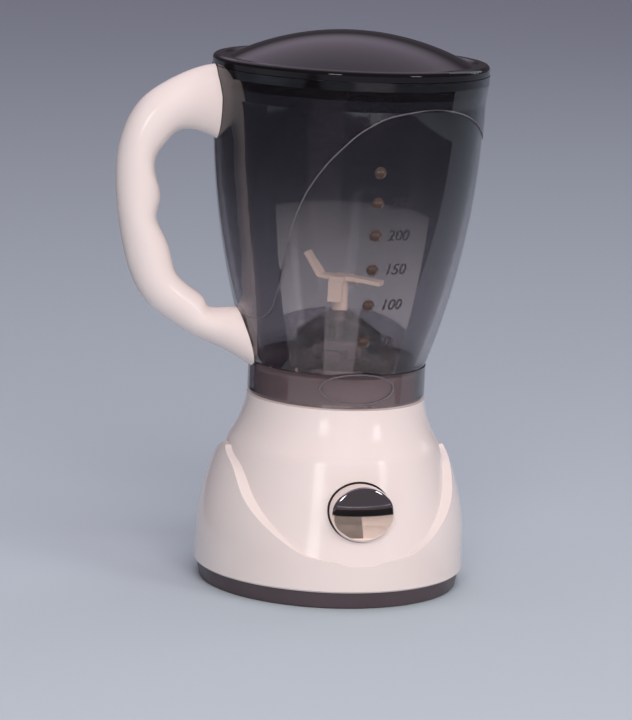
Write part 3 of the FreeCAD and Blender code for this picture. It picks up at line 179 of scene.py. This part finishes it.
# The base housing is moulded in warm white ABS with a polished skin, which is never
# quite flat. The helpers here serve every other moulding too.
def object_noise(tree, scale, detail):
    """Noise that is fixed to the piece, with its scale in ripples per metre."""
    spot = tree.nodes.new("ShaderNodeTexCoord")
    noise = tree.nodes.new("ShaderNodeTexNoise")
    noise.inputs["Scale"].default_value = scale
    noise.inputs["Detail"].default_value = detail
    tree.links.new(spot.outputs["Object"], noise.inputs["Vector"])
    return noise.outputs["Fac"]


def spread(tree, source, low, high):
    """Turns a noise value into a number between two limits."""
    span = tree.nodes.new("ShaderNodeMapRange")
    span.inputs["From Min"].default_value = 0.3
    span.inputs["From Max"].default_value = 0.7
    span.inputs["To Min"].default_value = low
    span.inputs["To Max"].default_value = high
    tree.links.new(source, span.inputs["Value"])
    return span.outputs["Result"]


def two_tones(tree, source, first, second):
    """Mixes two colours by a value."""
    mix = tree.nodes.new("ShaderNodeMix")
    mix.data_type = "RGBA"
    mix.inputs["A"].default_value = (*first, 1.0)
    mix.inputs["B"].default_value = (*second, 1.0)
    tree.links.new(source, mix.inputs["Factor"])
    return mix.outputs["Result"]


def skin_bump(tree, shader, source, height, strength):
    """Lets a value raise the surface a little."""
    bump = tree.nodes.new("ShaderNodeBump")
    bump.inputs["Distance"].default_value = height
    bump.inputs["Strength"].default_value = strength
    tree.links.new(source, bump.inputs["Height"])
    tree.links.new(bump.outputs["Normal"], shader.inputs["Normal"])


tone_ripples = 45.0
gloss_ripples = 230.0
skin_strength = 0.3


def moulded(name, colour, deeper, roughness, sink, grain):
    """Moulded plastic: two close tones, a gloss that varies and a skin not quite flat,
    whose dimples have a depth in metres and a grain in ripples per metre."""
    material, tree, shader = plain_paint(name, colour, roughness)
    tone = spread(tree, object_noise(tree, tone_ripples, 2.0), 0.0, 1.0)
    tree.links.new(two_tones(tree, tone, colour, deeper), shader.inputs["Base Color"])
    gloss = spread(tree, object_noise(tree, gloss_ripples, 3.0), roughness * 0.85, roughness * 1.2)
    tree.links.new(gloss, shader.inputs["Roughness"])
    skin_bump(tree, shader, object_noise(tree, grain, 1.0), sink, skin_strength)
    return material, shader


def finish_nodes(material, *names):
    """Gives the material to CAD nodes of the frame."""
    for name in names:
        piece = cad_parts[name]
        piece.data.materials.clear()
        piece.data.materials.append(material)


cream, shader = moulded("warm_white_abs", (0.80, 0.725, 0.695), (0.785, 0.708, 0.676),
                        0.13, 0.00001, 90.0)
shader.inputs["Specular IOR Level"].default_value = 0.42
finish_nodes(cream, "base_housing", "handle_front", "handle_rear")

# The foot and the battery door are one dark purple-grey moulding colour with a satin
# skin from a spark-eroded mould.
foot, shader = moulded("foot_abs", (0.078, 0.058, 0.066), (0.068, 0.050, 0.058),
                       0.40, 0.00004, 1500.0)
finish_nodes(foot, "bottom_cover", "battery_door")


# Screws, motor and contacts: zinc-plated steel, nickel-plated springs, a ferrite and
# iron motor, wrapped cells, plain beige mouldings, and grey dogs and bush of the drive.
metal_ripples = 1100.0


def metal(name, colour, roughness):
    """Bare or plated metal with a gloss that varies."""
    material, tree, shader = plain_paint(name, colour, roughness)
    shader.inputs["Metallic"].default_value = 1.0
    gloss = spread(tree, object_noise(tree, metal_ripples, 3.0), roughness * 0.8, roughness * 1.3)
    tree.links.new(gloss, shader.inputs["Roughness"])
    return material


finish_nodes(metal("zinc_plate", (0.55, 0.55, 0.56), 0.34), "cover_screws", "battery_door_screw",
             "motor_clamp_screws", "handle_screws", "switch_bracket_screws", "motor_can",
             "motor_shaft", "blade_spindle")
finish_nodes(metal("nickel_plate", (0.66, 0.63, 0.57), 0.26), "bridge_contact",
             "terminal_contacts", "contact_springs")
finish_nodes(metal("commutator_copper", (0.80, 0.42, 0.26), 0.3), "motor_commutator")
finish_nodes(metal("stacked_iron", (0.30, 0.28, 0.27), 0.45), "motor_armature")
ferrite, shader = moulded("ferrite", (0.035, 0.035, 0.038), (0.03, 0.03, 0.03),
                          0.6, 0.00003, 1800.0)
finish_nodes(ferrite, "motor_magnets")
jacket, shader = moulded("cell_jacket", (0.05, 0.16, 0.12), (0.045, 0.14, 0.105),
                         0.3, 0.00002, 400.0)
finish_nodes(jacket, "battery_cell_front", "battery_cell_rear")
inner, shader = moulded("inner_plastic", (0.62, 0.58, 0.52), (0.59, 0.55, 0.49),
                        0.45, 0.00003, 900.0)
finish_nodes(inner, "motor_end_cap", "motor_clamp", "switch_case", "switch_bracket",
             "switch_plunger")
dog_paint, shader = moulded("dog_plastic", (0.34, 0.30, 0.315), (0.32, 0.28, 0.295),
                            0.4, 0.00003, 900.0)
finish_nodes(dog_paint, "drive_coupling", "driven_coupling", "spindle_bush")

# The push button is a cap that is plated by vacuum: a mirror over plastic that isn't
# quite true, with a faint warm cast.
chrome = metal("plated_cap", (0.84, 0.80, 0.79), 0.05)
finish_nodes(chrome, "push_button")

# The jug is moulded in smoky clear plastic. It is tinted right through, and its tint changes with
# height as painted shade and light: the thick collar and the tall upper wall are painted darker, the
# low wall round the blade lighter.
tint_and_painted_shade_stops = ((0.066, (0.19, 0.17, 0.19)), (0.079, (0.19, 0.17, 0.19)),
              (0.086, (0.44, 0.41, 0.435)), (0.104, (0.44, 0.41, 0.435)),
              (0.125, (0.34, 0.325, 0.345)), (0.150, (0.21, 0.205, 0.22)),
              (0.183, (0.17, 0.17, 0.185)))
shadow_tint = (0.95, 0.93, 0.93)
shade_ramp_bottom = tint_and_painted_shade_stops[0][0]
shade_ramp_top = tint_and_painted_shade_stops[-1][0]
smoky, tree, shader = plain_paint("smoky_clear_painted_shade", tint_and_painted_shade_stops[0][1], 0.04)
shader.inputs["Transmission Weight"].default_value = 1.0
shader.inputs["IOR"].default_value = 1.49
spot = tree.nodes.new("ShaderNodeTexCoord")
split = tree.nodes.new("ShaderNodeSeparateXYZ")
tree.links.new(spot.outputs["Object"], split.inputs["Vector"])
climb = tree.nodes.new("ShaderNodeMapRange")
climb.inputs["From Min"].default_value = shade_ramp_bottom
climb.inputs["From Max"].default_value = shade_ramp_top
tree.links.new(split.outputs["Z"], climb.inputs["Value"])
# The ramp paints shade and light into the jug's tint by height.
painted_shade_ramp = tree.nodes.new("ShaderNodeValToRGB")
tree.links.new(climb.outputs["Result"], painted_shade_ramp.inputs["Fac"])
stops = painted_shade_ramp.color_ramp.elements
while len(stops) < len(tint_and_painted_shade_stops):
    stops.new(1.0)
for stop, (height, colour) in zip(stops, tint_and_painted_shade_stops):
    stop.position = (height - shade_ramp_bottom) / (shade_ramp_top - shade_ramp_bottom)
    stop.color = (*colour, 1.0)
tree.links.new(painted_shade_ramp.outputs["Color"], shader.inputs["Base Color"])
ray = tree.nodes.new("ShaderNodeLightPath")
clear = tree.nodes.new("ShaderNodeBsdfTransparent")
clear.inputs["Color"].default_value = (*shadow_tint, 1.0)
choose = tree.nodes.new("ShaderNodeMixShader")
tree.links.new(ray.outputs["Is Shadow Ray"], choose.inputs["Fac"])
tree.links.new(shader.outputs["BSDF"], choose.inputs[1])
tree.links.new(clear.outputs["BSDF"], choose.inputs[2])
tree.links.new(choose.outputs["Shader"], tree.nodes["Material Output"].inputs["Surface"])
finish_nodes(smoky, "jug_body")

# Two pale boards lie on the floor in front, spread like fans and fading away from the
# toy. The jug alone mirrors the large one, as its tall soft band, and the button the small.
board_from = math.radians(-76.0)
board_to = math.radians(66.0)
board_steps = 24
board_height = 0.004


def light_only(source, node):
    """Lets a lamp or a glowing board light one CAD node alone."""
    lit = bpy.data.collections.new("lit_by_" + source.name)
    lit.objects.link(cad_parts[node])
    source.light_linking.receiver_collection = lit


def pale_board(name, near, far, bright, faint, tint, mirror):
    """A glowing fan on the floor between two distances that one node alone mirrors."""
    mesh = bmesh.new()
    ends = [mesh.verts.new((math.sin(board_from) * reach, -math.cos(board_from) * reach, board_height))
            for reach in (near, far)]
    edge = mesh.edges.new(ends)
    bmesh.ops.spin(mesh, geom=[edge, *ends], cent=(0.0, 0.0, 0.0), axis=(0.0, 0.0, 1.0),
                   angle=board_to - board_from, steps=board_steps)
    data = bpy.data.meshes.new(name)
    mesh.to_mesh(data)
    mesh.free()
    board = bpy.data.objects.new(name, data)
    scene.collection.objects.link(board)
    paint, tree, shader = plain_paint(name, (0.0, 0.0, 0.0), 1.0)
    shader.inputs["Emission Color"].default_value = (*tint, 1.0)
    spot = tree.nodes.new("ShaderNodeTexCoord")
    away = tree.nodes.new("ShaderNodeVectorMath")
    away.operation = "LENGTH"
    tree.links.new(spot.outputs["Object"], away.inputs[0])
    fade = tree.nodes.new("ShaderNodeMapRange")
    fade.inputs["From Min"].default_value = near
    fade.inputs["From Max"].default_value = far
    fade.inputs["To Min"].default_value = bright
    fade.inputs["To Max"].default_value = faint
    tree.links.new(away.outputs["Value"], fade.inputs["Value"])
    tree.links.new(fade.outputs["Result"], shader.inputs["Emission Strength"])
    data.materials.append(paint)
    reflections_only(board)
    light_only(board, mirror)


pale_board("jug_board", 0.07, 0.42, 3.4, 0.6, (1.0, 0.90, 0.94), "jug_body")
pale_board("button_board", 0.06, 0.17, 1.15, 0.75, (1.0, 0.78, 0.70), "push_button")

# The jug's front panel is stepped down along a long curve. The step has a rounded lip
# that catches the light, on the front and on the back. The oval on the collar has one too.
# The lips' paler, half-opaque grey is partly a painted highlight.
jug_curve = 0.2804
shoulder = 0.0476
shoulder_height = 0.1729
panel_depth = 0.00035
panel_line = ((-0.052, 0.0969), (-0.0369, 0.0967), (-0.033, 0.0972), (-0.0293, 0.1092),
              (-0.0278, 0.128), (-0.025, 0.1408), (-0.0211, 0.1498), (-0.013, 0.1607),
              (-0.005, 0.1677), (0.0058, 0.1722), (0.0307, 0.1717), (0.0446, 0.162), (0.052, 0.15))


def jug_radius(height):
    """Outside radius of the jug's wall at a height."""
    drop = max(shoulder_height - height, 0.0)
    return shoulder - jug_curve + math.sqrt(jug_curve * jug_curve - drop * drop)


def line_through(name, points, closed):
    """A smooth curve object through points in space."""
    data = bpy.data.curves.new(name, "CURVE")
    data.dimensions = "3D"
    spline = data.splines.new("BEZIER")
    spline.bezier_points.add(len(points) - 1)
    for knot, point in zip(spline.bezier_points, points):
        knot.co = point
        knot.handle_left_type = "AUTO"
        knot.handle_right_type = "AUTO"
    spline.use_cyclic_u = closed
    piece = bpy.data.objects.new(name, data)
    scene.collection.objects.link(piece)
    return piece


def made_mesh(piece, name):
    """Replaces a curve or text object by a mesh object of the same shape."""
    bpy.context.view_layer.update()
    seen = piece.evaluated_get(bpy.context.evaluated_depsgraph_get())
    data = bpy.data.meshes.new_from_object(seen)
    bpy.data.objects.remove(piece)
    solid = bpy.data.objects.new(name, data)
    scene.collection.objects.link(solid)
    return solid


def smooth(piece):
    """Shades a mesh object smooth."""
    for face in piece.data.polygons:
        face.use_smooth = True


lip_radius = 0.00028
lip_end = 0.985
# The lip's paler grey over the dark jug is partly a painted highlight along the step.
lip_colour_and_highlight = (0.20, 0.19, 0.205)
guide = line_through("panel_guide", [(x, 0.0, z) for x, z in panel_line], False)
guide.data.resolution_u = 12
guide = made_mesh(guide, "panel_guide")
knots = [vert.co.copy() for vert in guide.data.vertices]
bpy.data.objects.remove(guide)
lip_highlight_paint, tree, shader = plain_paint("smoky_lip_painted_highlight", lip_colour_and_highlight, 0.22)
shader.inputs["Alpha"].default_value = 0.6
for side, name in ((-1.0, "panel_lip_front"), (1.0, "panel_lip_back")):
    track = []
    for knot in knots:
        radius = jug_radius(knot.z) - panel_depth / 2
        if abs(knot.x) < radius * lip_end:
            track.append((knot.x, side * math.sqrt(radius * radius - knot.x * knot.x), knot.z))
    lip = line_through(name + "_track", track, False)
    lip.data.bevel_depth = lip_radius
    lip.data.bevel_resolution = 2
    lip.data.resolution_u = 2
    lip.data.use_fill_caps = True
    lip = made_mesh(lip, name)
    smooth(lip)
    lip.data.materials.append(lip_highlight_paint)
    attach(lip, "jug")
collar_radius = 0.0315
plate_height = 0.0746
plate_half_width = 0.01315
plate_half_height = 0.00525
plate_rise = 0.00035
plate_lip_radius = 0.00032
plate_points = 48
reach = collar_radius + plate_rise
ring = []
for step in range(plate_points):
    angle = 2.0 * math.pi * step / plate_points
    across = plate_half_width * math.cos(angle)
    ring.append((across, -math.sqrt(reach * reach - across * across),
                 plate_height + plate_half_height * math.sin(angle)))
border = line_through("plate_track", ring, True)
border.data.bevel_depth = plate_lip_radius
border.data.bevel_resolution = 2
border.data.resolution_u = 2
border = made_mesh(border, "plate_lip")
smooth(border)
border.data.materials.append(lip_highlight_paint)
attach(border, "jug")

# Six round studs mark the levels up the front. They are solid, so they look like beads,
# and the lower five have their number beside them in raised figures.
mark_radius = 0.0021
mark_rise = 0.0012
mark_first = 0.0921
mark_step = 0.0135
mark_shrink = 0.00072
bead_skin = 0.00004
bead_colour = (0.085, 0.058, 0.048)
bead_paint, tree, shader = plain_paint("bead_clear", bead_colour, 0.07)
shader.inputs["Coat Weight"].default_value = 1.0
shader.inputs["Alpha"].default_value = 0.82
figure_paint, tree, shader = plain_paint("figure_smoky", (0.06, 0.055, 0.062), 0.25)
shader.inputs["Alpha"].default_value = 0.6
figure_height = 0.0054
figure_start = 0.0042
figure_depth = 0.00018
figure_slant = 0.18
figure_count = 5
mark_height = mark_first
ball = (mark_radius ** 2 + mark_rise ** 2) / (2.0 * mark_rise)
for index in range(6):
    face = jug_radius(mark_height) - panel_depth
    mesh = bmesh.new()
    bmesh.ops.create_uvsphere(mesh, u_segments=40, v_segments=24, radius=ball + bead_skin)
    bmesh.ops.bisect_plane(mesh, geom=mesh.verts[:] + mesh.edges[:] + mesh.faces[:],
                           plane_co=(0.0, 0.0, ball - mark_rise), plane_no=(0.0, 0.0, 1.0),
                           clear_inner=True)
    rim = [edge for edge in mesh.edges if edge.is_boundary]
    bmesh.ops.holes_fill(mesh, edges=rim)
    turn = Matrix.Rotation(math.radians(90.0), 4, "X")
    bmesh.ops.transform(mesh, matrix=turn, verts=mesh.verts)
    bmesh.ops.translate(mesh, vec=(0.0, ball - mark_rise - face, mark_height), verts=mesh.verts)
    bmesh.ops.recalc_face_normals(mesh, faces=mesh.faces)
    data = bpy.data.meshes.new("level_bead_%d" % (index + 1))
    mesh.to_mesh(data)
    mesh.free()
    bead = bpy.data.objects.new(data.name, data)
    scene.collection.objects.link(bead)
    smooth(bead)
    data.materials.append(bead_paint)
    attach(bead, "jug")
    if index < figure_count:
        words = bpy.data.curves.new("figures", "FONT")
        words.body = str(50 * (index + 1))
        words.size = figure_height
        words.shear = figure_slant
        words.extrude = figure_depth
        words.align_y = "CENTER"
        words.resolution_u = 6
        figures = bpy.data.objects.new("figures", words)
        scene.collection.objects.link(figures)
        figures = made_mesh(figures, "level_figures_%d" % (50 * (index + 1)))
        for vert in figures.data.vertices:
            height = mark_height + vert.co.y
            reach = jug_radius(height) - panel_depth + figure_depth / 2 + vert.co.z
            angle = (figure_start + vert.co.x) / face
            vert.co = (reach * math.sin(angle), -reach * math.cos(angle), height)
        figures.data.materials.append(figure_paint)
        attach(figures, "jug")
    mark_height += mark_step - index * mark_shrink

# The blade is one ivory moulding that is pressed on its spindle, a little softer in its
# gloss than the base. A lamp of its own makes up for the dark jug round it.
ivory, shader = moulded("blade_ivory", (0.86, 0.72, 0.60), (0.84, 0.70, 0.57),
                        0.33, 0.00004, 700.0)
finish_nodes(ivory, "blade_rotor")
blade_box = soft_box("blade_box", -10.0, 30.0, 1.2, 0.4, 0.4, 9.0, (1.0, 0.94, 0.92), False)
light_only(blade_box, "blade_rotor")

# The lid is one domed moulding that sits on the jug's rim. Its plastic is near-black,
# with a purple cast and a mirror gloss.
lid_paint, shader = moulded("lid_gloss", (0.006, 0.0045, 0.006), (0.005, 0.004, 0.005),
                            0.05, 0.00001, 60.0)
finish_nodes(lid_paint, "lid")
